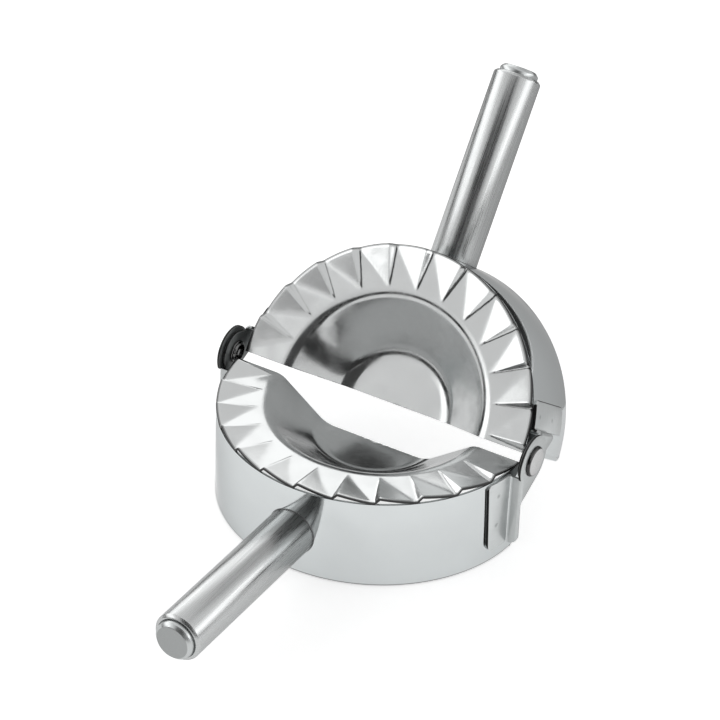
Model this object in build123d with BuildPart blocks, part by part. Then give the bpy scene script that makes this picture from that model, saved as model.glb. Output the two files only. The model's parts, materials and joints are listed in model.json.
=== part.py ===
from build123d import *
from math import cos, radians, sin, sqrt, tan
import os

# Hinged ravioli press and cutter of sheet steel, in millimetres.
# Two half-moon halves turn about one hinge line along X. The front half stands on its cutting edge
# at z = 0, the rear half is swung up behind it, and the origin lies under the middle of the whole.
# Each half is drawn in its own frame: the hinge centre is the origin, x runs along the hinge line,
# z points up out of the dish, and the half lies on the -y side.

# Driving dimensions
band_radius = 47.5
band_wall = 0.8
hinge_height = 30.4
open_tilt = 54.4
half_gap = 1.0
cutting_bevel = 0.3
band_corner = 2.0

# Pressed dish with its fluted rim
dish_sheet = 0.6
flute_count = 12
flute_pitch = 14.6
flute_step = 1.8
flute_height = 1.7
flute_inner_radius = 35.0
closed_gap = 0.8
pocket_radius = 32.8
pocket_floor_radius = 17.0
pocket_depth = 11.5
pocket_floor_bend = 9.0
pocket_rim_bend = 6.0

# Handle tube and its end cap
handle_drop = 17.0
handle_reach = 105.3
tube_radius = 7.3
tube_wall = 1.2
tube_end_bevel = 0.8
weld_gap = 0.05
cap_height = 2.2
cap_radius = 5.9
cap_bevel = 1.0
cap_plug_depth = 4.0
cap_fit = 0.05

# Hinge brackets, shared
bracket_sheet = 0.8
bracket_bend = 0.4
plate_reach = 15.8
plate_clearance = 0.3
plate_corner = 2.0
ear_gap = 0.3

# Outer brackets of the front half
outer_ear_radius = 7.7
outer_ear_reach = 4.0
outer_wall_distance = 5.8
outer_arm_top = 3.0
outer_arm_bottom = 11.0
outer_plate_bottom = 26.0
outer_wall_round = 3.0

# Inner brackets of the rear half
inner_ear_radius = 6.2
inner_wall_distance = 7.8
inner_arm_top = 1.8
inner_arm_bottom = 12.0
inner_plate_bottom = 24.5

# Hinge rivets and the washers under their tails
rivet_radius = 2.2
rivet_fit = 0.05
rivet_head_radius = 4.6
rivet_head_height = 1.4
rivet_head_bevel = 0.5
rivet_tail_radius = 2.8
rivet_tail_height = 0.7
rivet_tail_bevel = 0.25
rivet_dimple_radius = 1.3
rivet_dimple_depth = 0.4
washer_radius = 3.5
washer_thickness = 0.5
washer_play = 0.1

# The outer ears stand out from the cutting wall
outer_ear_face = band_radius + outer_ear_reach

# The flutes of both halves mesh when closed: where two gentle slopes cross, their heights add up
mesh_height = flute_height * flute_pitch / (flute_pitch - flute_step)
rim_level = -(closed_gap + mesh_height) / 2
band_top = rim_level - dish_sheet

# Where the two halves stand: the middle of the whole length lies over the origin
front_reach = handle_reach + cap_height
tilt = radians(open_tilt)


def swung_reach(reach, drop, bevel):
    """How far behind the hinge line a bevelled corner of the raised rear handle lies."""
    return reach * cos(tilt) + drop * sin(tilt) - bevel * min(cos(tilt), sin(tilt))


rear_reach = max(
    swung_reach(handle_reach, handle_drop + tube_radius, tube_end_bevel),
    swung_reach(front_reach, handle_drop + cap_radius, cap_bevel),
)
hinge_centre = (0, (front_reach - rear_reach) / 2, hinge_height)

front_frame = Plane(origin=hinge_centre, x_dir=(1, 0, 0), z_dir=(0, 0, 1))
rear_frame = Plane(origin=hinge_centre, x_dir=(-1, 0, 0), z_dir=(0, -sin(tilt), cos(tilt)))


def standing_plane(frame):
    """Plane through the hinge line, square to the half's rim: x along the hinge, y up."""
    return Plane(origin=frame.origin, x_dir=frame.x_dir, z_dir=-frame.y_dir)


def side_plane(frame, distance=0):
    """Plane square to the hinge line: x along the half's y, y up."""
    origin = frame.from_local_coords((distance, 0, 0))
    return Plane(origin=origin, x_dir=frame.y_dir, z_dir=frame.x_dir)


def hinge_side_cut(frame):
    """Plane where a half ends, just short of the hinge line."""
    origin = frame.from_local_coords((0, -half_gap, 0))
    return Plane(origin=origin, x_dir=frame.x_dir, z_dir=frame.y_dir)


def handle_plane(frame, reach):
    """Plane square to the handle at a distance from the hinge line."""
    origin = frame.from_local_coords((0, -reach, -handle_drop))
    return Plane(origin=origin, x_dir=frame.x_dir, z_dir=-frame.y_dir)


# Cutting wall: a half ring of sheet with a bevelled lower edge
def cutting_band(frame):
    with BuildPart() as band:
        with BuildSketch(frame.offset(-hinge_height)):
            Circle(band_radius)
            Circle(band_radius - band_wall, mode=Mode.SUBTRACT)
        extrude(amount=hinge_height + band_top)
        bottom = band.faces().sort_by(Axis(frame.origin, frame.z_dir))[0]
        chamfer(bottom.edges().sort_by(SortBy.RADIUS)[0], length=cutting_bevel)
        split(bisect_by=hinge_side_cut(frame), keep=Keep.BOTTOM)
        end_edges = band.edges().filter_by(Axis(frame.origin, frame.x_dir))
        lower_ends = end_edges.group_by(Axis(frame.origin, frame.z_dir))[0]
        fillet(lower_ends, radius=band_corner)
    return band


# One flute: a pyramid from a point near the pocket to a saw tooth beyond the rim
def flute_body(frame, number, drop):
    half_pitch = flute_pitch / 2
    azimuth = -90 + (number - flute_count / 2) * flute_pitch + half_pitch
    face_radius = band_radius + band_wall
    crest_turn = radians(flute_step - half_pitch)
    crest_radius = face_radius / cos(crest_turn)
    growth = (crest_radius - flute_inner_radius) / (band_radius - flute_inner_radius)
    half_width = face_radius * tan(radians(half_pitch))
    base = rim_level - drop
    outward = (cos(radians(azimuth)), sin(radians(azimuth)))
    tangent = (-outward[1], outward[0])
    tooth_plane = Plane(
        origin=frame.from_local_coords((face_radius * outward[0], face_radius * outward[1], base)),
        x_dir=frame.x_dir * tangent[0] + frame.y_dir * tangent[1],
        z_dir=frame.x_dir * outward[0] + frame.y_dir * outward[1],
    )
    apex_turn = radians(azimuth) + crest_turn
    apex = frame.from_local_coords(
        (flute_inner_radius * cos(apex_turn), flute_inner_radius * sin(apex_turn), base)
    )
    with BuildPart() as flute:
        with BuildSketch(tooth_plane) as tooth:
            crest = (face_radius * tan(crest_turn), flute_height * growth)
            Polygon((-half_width, 0), (half_width, 0), crest, align=None)
        loft(sections=[tooth.sketch.face(), Vertex(*apex)])
    return flute.part


# Pressed half dish: a round pocket, a flat rim and the flutes raised out of it
def pressed_dish(frame):
    raised = [flute_body(frame, number, 0) for number in range(flute_count)]
    hollows = [flute_body(frame, number, dish_sheet) for number in range(flute_count)]
    with BuildPart() as dish:
        with BuildSketch(standing_plane(frame)):
            with BuildLine() as upper_face:
                floor_level = rim_level - pocket_depth
                FilletPolyline(
                    (0, floor_level),
                    (pocket_floor_radius, floor_level),
                    (pocket_radius, rim_level),
                    (band_radius, rim_level),
                    radius=[pocket_floor_bend, pocket_rim_bend],
                )
                offset(amount=dish_sheet, side=Side.RIGHT)
            make_face()
        revolve(axis=Axis(frame.origin, frame.z_dir))
        add(raised)
        add(hollows, mode=Mode.SUBTRACT)
        with BuildSketch(frame.offset(-hinge_height)):
            Circle(band_radius)
            with Locations((0, -half_gap)):
                beyond = 2 * band_radius
                Rectangle(beyond, beyond, align=(Align.CENTER, Align.MIN), mode=Mode.SUBTRACT)
        extrude(amount=2 * hinge_height, mode=Mode.INTERSECT)
    return dish


# Handle: a tube coped to the cutting wall, with a bevelled free end
def handle_tube(frame):
    start = band_radius - tube_radius
    with BuildPart() as tube:
        with BuildSketch(handle_plane(frame, start)):
            Circle(tube_radius)
            Circle(tube_radius - tube_wall, mode=Mode.SUBTRACT)
        extrude(amount=handle_reach - start)
        free_end = tube.faces().sort_by(Axis(frame.origin, frame.y_dir))[0]
        chamfer(free_end.edges().sort_by(SortBy.RADIUS)[-1], length=tube_end_bevel)
        with BuildSketch(frame.offset(-hinge_height)):
            Circle(band_radius + weld_gap)
        extrude(amount=hinge_height, mode=Mode.SUBTRACT)
    return tube


# End cap: a bevelled disc that stands out of the tube, on a plug inside it
def end_cap(frame):
    with BuildPart() as cap:
        with BuildSketch(handle_plane(frame, handle_reach - cap_plug_depth)):
            Circle(tube_radius - tube_wall - cap_fit)
        extrude(amount=cap_plug_depth)
        with BuildSketch(handle_plane(frame, handle_reach)):
            Circle(cap_radius)
        extrude(amount=cap_height)
        face = cap.faces().sort_by(Axis(frame.origin, frame.y_dir))[0]
        chamfer(face.edges(), length=cap_bevel)
    return cap


# Bent hinge bracket: a plate on the cutting wall, a short wall outwards and the hinge ear
def hinge_bracket(frame, ear_face, ear_radius, wall_distance, arm_top, arm_bottom, plate_bottom):
    plate_inside = band_radius + weld_gap
    wall_front = wall_distance + bracket_sheet
    ear_start = wall_distance - 2 * bracket_bend
    with BuildPart() as bracket:
        # Plate, curved to the cutting wall
        with BuildSketch(frame.offset(-plate_bottom)):
            Circle(plate_inside + bracket_sheet)
            Circle(plate_inside, mode=Mode.SUBTRACT)
            with Locations((plate_inside, -(plate_reach + wall_distance) / 2)):
                Rectangle(plate_inside, plate_reach - wall_distance, mode=Mode.INTERSECT)
        extrude(amount=plate_bottom + band_top - plate_clearance)
        plate_end = bracket.faces().sort_by(Axis(frame.origin, frame.y_dir))[0]
        fillet(plate_end.edges().filter_by(Axis(frame.origin, frame.x_dir)), radius=plate_corner)
        # Short wall and the bend at its outer end, seen from above
        with BuildSketch(frame.offset(-arm_bottom)) as bend:
            with Locations((ear_face, -wall_front)):
                Rectangle(ear_face - wall_start(wall_distance), bracket_sheet, align=(Align.MAX, Align.MIN))
                Rectangle(bracket_sheet, wall_front - ear_start, align=(Align.MAX, Align.MIN))
            outer_bend = bend.vertices().sort_by_distance((ear_face, -wall_front, 0))[0]
            fillet(outer_bend, radius=bracket_bend + bracket_sheet)
            inner_bend = bend.vertices().sort_by_distance((ear_face - bracket_sheet, -wall_distance, 0))[0]
            fillet(inner_bend, radius=bracket_bend)
        extrude(amount=arm_bottom - arm_top)
        # Ear, seen along the hinge line, relieved beside the bend so that it stays round above
        with BuildSketch(side_plane(frame, ear_face)):
            with BuildLine():
                CenterArc((0, 0), ear_radius, 0, 360)
                Line((-ear_start, -arm_top), (-ear_start, -arm_bottom))
            make_hull()
            with Locations((-ear_start, -arm_top)):
                Rectangle(ear_radius, ear_radius, align=(Align.MAX, Align.MAX), mode=Mode.SUBTRACT)
            Circle(rivet_radius + rivet_fit, mode=Mode.SUBTRACT)
        extrude(amount=-bracket_sheet)
    return bracket.part


def wall_start(wall_distance):
    """How far out the short wall begins, inside the sheet of the plate."""
    return sqrt((band_radius + weld_gap)**2 - wall_distance**2) + bracket_sheet / 2


# The front half's bracket: its short wall reaches down as far as the plate
def outer_bracket(frame):
    with BuildPart() as bracket:
        add(
            hinge_bracket(
                frame,
                outer_ear_face,
                outer_ear_radius,
                outer_wall_distance,
                outer_arm_top,
                outer_arm_bottom,
                outer_plate_bottom,
            )
        )
        with BuildSketch(standing_plane(frame).offset(outer_wall_distance)) as lower_wall:
            with Locations((outer_ear_face, -outer_plate_bottom)):
                Rectangle(
                    outer_ear_face - wall_start(outer_wall_distance),
                    outer_plate_bottom - outer_arm_bottom,
                    align=(Align.MAX, Align.MIN),
                )
            corner = lower_wall.vertices().sort_by_distance((outer_ear_face, -outer_plate_bottom, 0))[0]
            fillet(corner, radius=outer_wall_round)
        extrude(amount=bracket_sheet)
    return bracket


# The rear half's bracket: its ear lies inside the other one
def inner_bracket(frame):
    with BuildPart() as bracket:
        add(
            hinge_bracket(
                frame,
                outer_ear_face - bracket_sheet - ear_gap,
                inner_ear_radius,
                inner_wall_distance,
                inner_arm_top,
                inner_arm_bottom,
                inner_plate_bottom,
            )
        )
    return bracket


def mirrored(piece, frame):
    """The same piece for the other end of the hinge line."""
    with BuildPart() as other:
        mirror(piece.part, about=side_plane(frame))
    return other


# Hinge rivet: a bevelled head outside, a shank through both ears and a closed tail with a dimple
inner_face = outer_ear_face - 2 * bracket_sheet - ear_gap
washer_inside = inner_face - washer_play - washer_thickness
tail_end = washer_inside - rivet_tail_height
head_top = outer_ear_face + rivet_head_height


def hinge_rivet(frame):
    with BuildPart() as rivet:
        with BuildSketch(standing_plane(frame)):
            with BuildLine():
                Polyline(
                    (tail_end + rivet_dimple_depth, 0),
                    (tail_end, rivet_dimple_radius),
                    (tail_end, rivet_tail_radius - rivet_tail_bevel),
                    (tail_end + rivet_tail_bevel, rivet_tail_radius),
                    (washer_inside, rivet_tail_radius),
                    (washer_inside, rivet_radius),
                    (outer_ear_face, rivet_radius),
                    (outer_ear_face, rivet_head_radius),
                    (head_top - rivet_head_bevel, rivet_head_radius),
                    (head_top, rivet_head_radius - rivet_head_bevel),
                    (head_top, 0),
                    close=True,
                )
            make_face()
        revolve(axis=Axis(frame.origin, frame.x_dir))
    return rivet


# Washer between the rivet's tail and the inner ear
def rivet_washer(frame):
    with BuildPart() as washer:
        with BuildSketch(side_plane(frame, washer_inside)):
            Circle(washer_radius)
            Circle(rivet_radius + rivet_fit, mode=Mode.SUBTRACT)
        extrude(amount=washer_thickness)
    return washer


front_right_bracket = outer_bracket(front_frame)
rear_left_bracket = inner_bracket(rear_frame)
right_rivet = hinge_rivet(front_frame)
right_washer = rivet_washer(front_frame)

pieces = {
    "front_band": cutting_band(front_frame),
    "front_dish": pressed_dish(front_frame),
    "front_handle": handle_tube(front_frame),
    "front_cap": end_cap(front_frame),
    "front_right_bracket": front_right_bracket,
    "front_left_bracket": mirrored(front_right_bracket, front_frame),
    "rear_band": cutting_band(rear_frame),
    "rear_dish": pressed_dish(rear_frame),
    "rear_handle": handle_tube(rear_frame),
    "rear_cap": end_cap(rear_frame),
    "rear_left_bracket": rear_left_bracket,
    "rear_right_bracket": mirrored(rear_left_bracket, rear_frame),
    "right_rivet": right_rivet,
    "left_rivet": mirrored(right_rivet, front_frame),
    "right_washer": right_washer,
    "left_washer": mirrored(right_washer, front_frame),
}

os.makedirs("parts", exist_ok=True)
for name, piece in pieces.items():
    piece.part.label = name
    export_step(piece.part, f"parts/{name}.step")
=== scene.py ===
# Looks of a hinged ravioli press of sheet steel, modelled on its packed frame.
# Each half is drawn in its own frame: the hinge centre is the origin, X runs along the hinge line,
# Z points up out of the dish, and the half lies on the -Y side.
import json
from math import acos, asin, atan2, cos, pi, radians, sin, sqrt, tan
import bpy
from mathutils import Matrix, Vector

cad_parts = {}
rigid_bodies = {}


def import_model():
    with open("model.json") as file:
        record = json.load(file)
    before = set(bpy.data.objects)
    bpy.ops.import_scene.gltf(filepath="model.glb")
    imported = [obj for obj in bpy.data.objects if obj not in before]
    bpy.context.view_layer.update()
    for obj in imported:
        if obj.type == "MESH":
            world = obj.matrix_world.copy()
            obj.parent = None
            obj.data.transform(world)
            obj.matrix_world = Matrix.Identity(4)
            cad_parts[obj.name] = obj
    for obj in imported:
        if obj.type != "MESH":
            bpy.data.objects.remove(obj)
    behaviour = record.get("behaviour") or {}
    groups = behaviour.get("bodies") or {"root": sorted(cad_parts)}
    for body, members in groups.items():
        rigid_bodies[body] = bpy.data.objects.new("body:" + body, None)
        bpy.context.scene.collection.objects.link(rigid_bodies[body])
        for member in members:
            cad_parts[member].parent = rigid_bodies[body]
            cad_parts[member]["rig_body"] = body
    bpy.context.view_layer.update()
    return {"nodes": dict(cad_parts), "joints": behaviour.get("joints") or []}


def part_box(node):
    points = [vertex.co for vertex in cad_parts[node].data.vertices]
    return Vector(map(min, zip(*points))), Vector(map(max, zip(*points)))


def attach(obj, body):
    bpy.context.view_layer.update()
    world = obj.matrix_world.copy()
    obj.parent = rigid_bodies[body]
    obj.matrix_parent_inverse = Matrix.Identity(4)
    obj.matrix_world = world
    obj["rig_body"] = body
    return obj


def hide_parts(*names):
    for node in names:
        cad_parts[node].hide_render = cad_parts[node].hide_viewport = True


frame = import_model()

from types import SimpleNamespace

import bmesh
import bpy
from bpy.props import FloatProperty, FloatVectorProperty, IntProperty, PointerProperty
from mathutils import Matrix, Vector

bl_info = {
    "name": "Ravioli press",
    "version": (1, 0, 0),
    "blender": (4, 5, 0),
    "location": "View3D > Sidebar > Press",
    "description": "Models and dresses a hinged ravioli press and cutter of sheet steel",
    "category": "Object",
}

FOLD = frame["joints"][0]
HINGE = Vector(FOLD["pos_m"])
BAND_LOW, BAND_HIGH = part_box("front_band")
TUBE_LOW, TUBE_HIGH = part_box("front_handle")
CAP_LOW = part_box("front_cap")[0]
EAR_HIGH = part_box("front_right_bracket")[1]
INNER_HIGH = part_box("rear_right_bracket")[1]
RIVET_LOW, RIVET_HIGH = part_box("right_rivet")
WASHER_LOW, WASHER_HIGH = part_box("right_washer")

MM = 0.001
NEAR = 1e-5  # places that lie no farther apart count as one
MERGE = 1e-6  # points that lie no farther apart are merged
BAND_SIDES = 360
EAR_SIDES = 144
TUBE_SIDES = 96
RIVET_SIDES = 64
CORNER_STEPS = 8  # steps of a quarter turn, where planes cut a round corner
IN_DEGREES = {"scale": pi / 180, "unit": "ROTATION"}
AXIS_TURNS = {"X": (0, pi / 2, 0), "Y": (pi / 2, 0, 0), "Z": (0, 0, 0)}


def length(name, description, default):
    """A size that the user can change, given in metres."""
    return FloatProperty(name=name, description=description, default=default, unit="LENGTH", precision=5)


def mm(name, description, millimetres):
    """A size that is given in millimetres."""
    return length(name, description, millimetres * MM)


def angle(name, description, degrees):
    """An angle that the user can change, given in degrees."""
    return FloatProperty(name=name, description=description, default=radians(degrees), subtype="ANGLE")


def pair(name, description, outer, inner, scale=MM, unit="LENGTH"):
    """A size of the outer and of the inner brackets, given in millimetres."""
    default = (outer * scale, inner * scale)
    return FloatVectorProperty(name=name, description=description, default=default, size=2, unit=unit, precision=5)


def share(name, description, default):
    """A plain number between nothing and all."""
    return FloatProperty(name=name, description=description, default=default, min=0, max=1, subtype="FACTOR")


def triple(name, description, default, subtype="TRANSLATION", **limits):
    """Three numbers that the user can change."""
    return FloatVectorProperty(name=name, description=description, default=default, subtype=subtype, **limits)


def colour(name, description, default):
    """A colour that the user can change."""
    return triple(name, description, default, "COLOR", min=0, max=1)


class PressSizes(bpy.types.PropertyGroup):
    """Sizes that the two halves share"""

    hinge_centre: triple("Hinge centre", "Middle of the hinge line", HINGE)
    open_tilt: angle("Open tilt", "How far the rear half is raised from flat", -FOLD["range_deg"][0])
    half_gap: length("Half gap", "From the hinge line to the end of a half", HINGE.y - BAND_HIGH.y)
    edge_round: mm("Edge round", "Rounding of the sheet's cut edges", 0.12)


class BandSizes(bpy.types.PropertyGroup):
    """Sizes of the cutting band"""

    radius: mm("Radius", "Outside of the band", 47.5)
    top: length("Top", "Upper edge, from the hinge line", BAND_HIGH.z - HINGE.z)
    bottom: length("Bottom", "Cutting edge, from the hinge line", BAND_LOW.z - HINGE.z)
    wall: mm("Wall", "Thickness of the band's sheet", 0.8)
    cutting_bevel: mm("Cutting bevel", "Bevel outside the cutting edge", 0.3)
    corner: mm("Corner", "Rounding of the lower corners at the hinge", 2)


class DishSizes(bpy.types.PropertyGroup):
    """Sizes of the pressed dish and its flutes"""

    sheet: mm("Sheet", "Thickness of the dish", 0.6)
    rim_level: length("Rim level", "Flat of the rim, from the hinge line", BAND_HIGH.z - HINGE.z + 0.6 * MM)
    pocket_radius: mm("Pocket radius", "Where the pocket's wall meets the rim", 32.8)
    floor_radius: mm("Floor radius", "Where the pocket's wall meets its floor", 17)
    pocket_depth: mm("Pocket depth", "From the rim down to the floor", 11.5)
    floor_bend: mm("Floor bend", "Bend between floor and wall", 9)
    rim_bend: mm("Rim bend", "Bend between wall and rim", 6)
    flute_count: IntProperty(name="Flutes", description="Flutes round one half", default=12)
    flute_pitch: angle("Flute pitch", "Angle of one flute", 14.6)
    flute_step: angle("Flute step", "Angle of a flute's steep side", 1.8)
    flute_start: mm("Flute start", "How far from the middle the flutes begin", 35)
    flute_height: mm("Flute height", "Height of the flutes at the rim", 1.7)


class HandleSizes(bpy.types.PropertyGroup):
    """Sizes of a handle and its end cap"""

    drop: length("Drop", "From the hinge line down to the handle's axis", HINGE.z - (TUBE_LOW.z + TUBE_HIGH.z) / 2)
    radius: length("Radius", "Outside of the tube", (TUBE_HIGH.x - TUBE_LOW.x) / 2)
    wall: mm("Wall", "Thickness of the tube", 1.2)
    reach: length("Reach", "From the hinge line to the tube's free end", HINGE.y - TUBE_LOW.y)
    root_sink: mm("Root sink", "How far the tube's root lies inside the band", 0.62)
    end_bevel: mm("End bevel", "Bevel of the free end", 0.8)
    shoulder_round: mm("Shoulder round", "Rounding of the bevels' edges", 0.2)
    weld_bead: mm("Weld bead", "Radius of the weld round the tube's root", 0.2)
    cap_radius: mm("Cap radius", "Outside of the end cap", 5.9)
    cap_reach: length("Cap reach", "From the hinge line to the cap's face", HINGE.y - CAP_LOW.y)
    cap_bevel: mm("Cap bevel", "Bevel round the cap's face", 1)
    cap_groove: mm("Cap groove", "Depth of the groove between cap and tube", 0.3)


class BracketSizes(bpy.types.PropertyGroup):
    """Sizes of the front half's outer and the rear half's inner brackets"""

    ear_face: pair("Ear face", "From the middle to the outside of the ear", EAR_HIGH.x, INNER_HIGH.x, scale=1)
    ear_radius: pair("Ear radius", "Rounding of the ear about the hinge line", 7.7, 6.2)
    wall: pair("Wall", "From the hinge line to the short wall", 5.8, 7.8)
    arm_top: pair("Arm top", "Top of the bend, below the hinge line", 3, 1.8)
    arm_bottom: pair("Arm bottom", "Foot of the bend, below the hinge line", 11, 12)
    plate_bottom: pair("Plate bottom", "Foot of the plate, below the hinge line", 26, 24.5)
    plate_reach: pair("Plate reach", "From the hinge line to the plate's far end", 15.8, 16.7)
    plate_taper: pair("Plate taper", "Lean of the plate's far edge, which narrows its foot", 3.4, 0, **IN_DEGREES)
    wall_round: pair("Wall round", "Rounding of the short wall's foot, where it has one", 3, 0)
    weld_turn: pair("Weld turn", "From the hinge line round to the spot welds", 13.6, 14.7, **IN_DEGREES)
    upper_weld: pair("Upper weld", "Upper spot weld, below the hinge line", 7.4, 5.8)
    lower_weld: pair("Lower weld", "Lower spot weld, below the hinge line", 17.6, 16.1)


class BracketSheet(bpy.types.PropertyGroup):
    """What all brackets share"""

    sheet: mm("Sheet", "Thickness of the brackets", 0.8)
    seat: mm("Seat", "From the band to the plate", 0.05)
    bend: mm("Bend", "Outer radius of the bend at the ear", 1.2)
    plate_clearance: mm("Plate clearance", "From the band's top down to the plate", 0.3)
    plate_corner: mm("Plate corner", "Rounding of the plate's far corners", 2)


class RivetSizes(bpy.types.PropertyGroup):
    """Sizes of the hinge rivets and their washers"""

    ear_face: length("Ear face", "From the middle to the outside of the ears", EAR_HIGH.x)
    head_radius: length("Head radius", "Outside of the rivet's head", (RIVET_HIGH.z - RIVET_LOW.z) / 2)
    head_top: length("Head top", "From the middle to the top of the head", RIVET_HIGH.x)
    head_round: mm("Head round", "Rounding round the head", 0.9)
    dome: mm("Dome", "Height of the dome on the head", 0.36)
    dome_ring: mm("Dome ring", "Width of each ring that the dome rises by", 0.7)
    tail_end: length("Tail end", "From the middle to the end of the tail", RIVET_LOW.x)
    tail_radius: mm("Tail radius", "Outside of the closed tail", 2.8)
    tail_round: mm("Tail round", "Rounding round the tail's end", 0.25)
    dimple: mm("Dimple", "Radius of the dimple in the tail", 1.3)
    dimple_depth: mm("Dimple depth", "Depth of the dimple in the tail", 0.4)
    washer_inside: length("Washer inside", "From the middle to the washer", WASHER_LOW.x)
    washer_outside: length("Washer outside", "From the middle to the washer's far side", WASHER_HIGH.x)
    washer_radius: length("Washer radius", "Outside of the washer", (WASHER_HIGH.z - WASHER_LOW.z) / 2)
    washer_round: mm("Washer round", "Rounding of the washer's edges", 0.1)


class SteelFinish(bpy.types.PropertyGroup):
    """Colours and gloss of the steel"""

    band_colour: colour("Band", "Polished sheet of the bands", (0.60, 0.625, 0.628))
    dish_colour: colour("Dish", "Bright pressed sheet", (0.54, 0.55, 0.55))
    tube_colour: colour("Tube", "Brushed tube of the handles", (0.49, 0.50, 0.50))
    cap_colour: colour("Cap", "Turned end caps", (0.32, 0.33, 0.33))
    bracket_colour: colour("Bracket", "Satin sheet of the brackets", (0.62, 0.64, 0.64))
    rivet_colour: colour("Rivet", "Rivets and washers", (0.55, 0.55, 0.55))
    weld_colour: colour("Weld", "Weld round the handle's root", (0.15, 0.152, 0.154))
    # Near black: sheared edges, and painted shade along the bands' cutting edges, the dishes' cut edges, the
    # brackets' far edges and ear rims, and the rear plates' top edges.
    cut_colour: colour("Cut edge", "Sheared edges of the sheets", (0.05, 0.05, 0.05))
    band_gloss: share("Band roughness", "Roughness of the polished bands", 0.07)
    dish_gloss: share("Dish roughness", "Roughness of the pressed dishes", 0.16)
    tube_gloss: share("Tube roughness", "Roughness of the brushed tubes", 0.27)
    bracket_gloss: share("Bracket roughness", "Roughness of the brackets", 0.36)


class StudioSetting(bpy.types.PropertyGroup):
    """Floor, lamps and camera"""

    floor_colour: colour("Floor", "Colour of the floor", (0.93, 0.93, 0.93))
    lift: FloatProperty(name="Floor lift", description="Light that the camera's floor adds", default=0.5, min=0)
    sky: FloatProperty(name="Sky", description="Plain light from all round", default=0.48, min=0)
    lens: FloatProperty(name="Lens", description="Focal length of the camera in millimetres", default=141.01)
    stand: triple("Stand", "Where the camera stands", (0.330799, -0.583520, 0.494879))
    turn: triple("Turn", "How the camera is turned", (0.98788816, -0.03903085, 0.54054576), "EULER")


def operated(operation, swapped=False):
    """A Python operator that makes a Math node."""

    def made(first, second=0.0):
        sockets = {0: second, 1: first} if swapped else {0: first, 1: second}
        return first.finish.node("ShaderNodeMath", {"operation": operation}, sockets)

    return made


class Wire:
    """A shader output that Python's operators act on."""

    def __init__(self, finish, socket):
        self.finish = finish
        self.socket = socket

    __add__ = operated("ADD")
    __sub__ = operated("SUBTRACT")
    __rsub__ = operated("SUBTRACT", swapped=True)
    __mul__ = operated("MULTIPLY")
    __gt__ = operated("GREATER_THAN")
    __lt__ = operated("LESS_THAN")
    __abs__ = operated("ABSOLUTE")


class Finish:
    """The node tree of a material or world, drawn with Python expressions."""

    def __init__(self, owner):
        owner.use_nodes = True
        self.tree = owner.node_tree
        self.tree.nodes.clear()

    def node(self, kind, settings, sockets, output=0):
        """Any node: its settings first, then the values or links of its sockets."""
        made = self.tree.nodes.new(kind)
        for name, value in settings.items():
            setattr(made, name, value)
        for name, value in sockets.items():
            if isinstance(value, Wire):
                self.tree.links.new(value.socket, made.inputs[name])
            else:
                made.inputs[name].default_value = value
        return Wire(self, made.outputs[output]) if len(made.outputs) else made

    def vector_math(self, operation, first, second=(0, 0, 0), output="Value"):
        """A calculation with vectors."""
        return self.node("ShaderNodeVectorMath", {"operation": operation}, {0: first, 1: second}, output)

    def half_place(self, half, shift=(0, 0, 0)):
        """Coordinates in a half's own frame, in metres, from a point of that frame."""
        sizes = bpy.context.scene.press_sizes
        turn = (0, 0, 0) if half == "front" else (-sizes.open_tilt, 0, pi)
        spot = half_matrix(half) @ Vector(shift)
        seat = self.node("ShaderNodeTexCoord", {}, {}, "Object")
        sockets = {"Vector": seat, "Location": spot, "Rotation": turn}
        return self.node("ShaderNodeMapping", {"vector_type": "TEXTURE"}, sockets)

    def stretched(self, place, scales):
        """The same coordinates with each axis at its own scale."""
        return self.vector_math("MULTIPLY", place, scales, "Vector")

    def distance(self, place, scales):
        """How far a place lies from the origin, along the axes that the scales keep."""
        return self.vector_math("LENGTH", self.stretched(place, scales))

    def along(self, place, axis):
        """One coordinate of a place."""
        return self.node("ShaderNodeSeparateXYZ", {}, {0: place}, axis)

    def noise(self, place, scale, detail=3.0, roughness=0.5):
        """Cloudy pattern from 0 to 1."""
        values = {"Vector": place, "Scale": scale, "Detail": detail, "Roughness": roughness}
        return self.node("ShaderNodeTexNoise", {}, values, "Fac")

    def span(self, value, low, high, to_low, to_high):
        """A value moved smoothly from one range to another."""
        sockets = {"Value": value, "From Min": low, "From Max": high, "To Min": to_low, "To Max": to_high}
        return self.node("ShaderNodeMapRange", {"interpolation_type": "SMOOTHSTEP"}, sockets)

    def blend(self, mask, first, second):
        """One colour over another by a mask."""
        return self.node("ShaderNodeMix", {"data_type": "RGBA"}, {0: mask, 6: first, 7: second}, 2)

    def mottled(self, mask, tint, darkest, lightest):
        """A colour that varies by a mask between two shades of itself."""
        return self.blend(mask, shaded(tint, darkest), shaded(tint, lightest))

    def over(self, below, mask, tint, factor):
        """A shade of a colour laid by a mask over what is below."""
        return self.blend(mask, below, shaded(tint, factor))

    def bump(self, height, depth):
        """Fine relief: a height from 0 to 1, that deep in metres."""
        return self.node("ShaderNodeBump", {}, {"Height": height, "Distance": depth, "Strength": 1.0})


def shaded(tint, factor):
    """A colour made lighter or darker, with its alpha."""
    return (*(channel * factor for channel in tint), 1.0)


def steel(name, draw, half, *extra):
    """A steel material whose colour, roughness and relief come from a drawing function."""
    material = bpy.data.materials.new(name)
    finish = Finish(material)
    base, roughness, normal = draw(finish, bpy.context.scene.press_finish, half, *extra)
    sockets = {"Metallic": 1.0, "Base Color": base, "Roughness": roughness, "Normal": normal}
    shader = finish.node("ShaderNodeBsdfPrincipled", {}, {**sockets, "Specular Tint": (0.68, 0.68, 0.68, 1)})
    finish.node("ShaderNodeOutputMaterial", {}, {"Surface": shader})
    return material


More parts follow.
